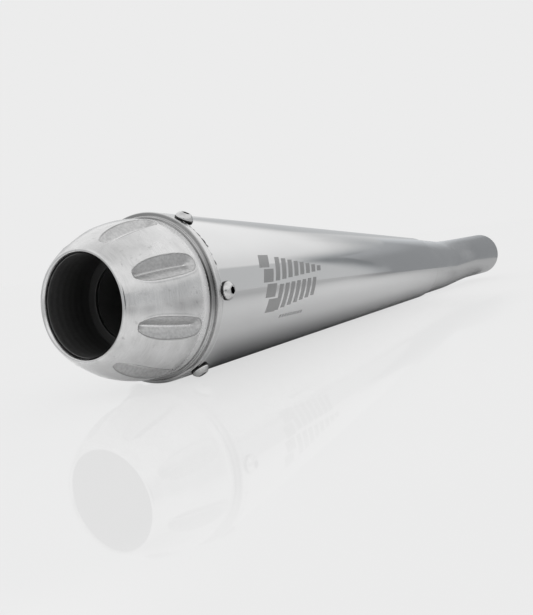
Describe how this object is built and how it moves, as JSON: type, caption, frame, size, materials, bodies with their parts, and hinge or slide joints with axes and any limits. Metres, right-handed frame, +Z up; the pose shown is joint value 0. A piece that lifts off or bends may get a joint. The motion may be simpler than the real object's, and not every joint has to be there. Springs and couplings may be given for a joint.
{
  "type": "exhaust muffler",
  "caption": "Tapered stainless motorcycle silencer with a domed, fluted cast end cap, a perforated core in packing, an offset inlet pipe and a bushed hanger tab.",
  "frame": {"origin": "centre of the inlet pipe's open mouth", "axes": "+X from the outlet towards the inlet, along the silencer as it lies at rest; +Z up; the hanger is on the +Y side"},
  "size_m": [0.6405, 0.1266, 0.1002],
  "materials": {
    "cast_aluminium": "satin polished casting",
    "polished_stainless": "mirror polished stainless sheet",
    "screw_steel": "bright stainless",
    "weld_metal": "dressed weld",
    "raw_stainless": "mill finish",
    "graphite": "matt",
    "wire_mesh": "knitted wire",
    "steel_wool": "fibrous",
    "glass_fibre": "fibrous",
    "bracket_steel": "linished",
    "rubber": "moulded"
  },
  "bodies": {
    "root": {"end_cap": "cast_aluminium", "cap_seal": "graphite", "cap_screws": "screw_steel", "cap_washers": "screw_steel", "cone_shell": "polished_stainless", "front_sleeve": "polished_stainless", "sleeve_weld": "weld_metal", "neck_weld": "weld_metal", "neck": "polished_stainless", "pipe_weld": "weld_metal", "inlet_pipe": "polished_stainless", "core_tube": "raw_stainless", "core_seal": "wire_mesh", "core_collar": "raw_stainless", "packing_disc": "raw_stainless", "steel_wool": "steel_wool", "glass_packing": "glass_fibre", "packing_ties": "raw_stainless", "hanger_saddle": "bracket_steel", "hanger_tab": "bracket_steel", "tab_welds": "weld_metal", "hanger_bush": "rubber", "hanger_tube": "screw_steel"}
  },
  "joints": []
}
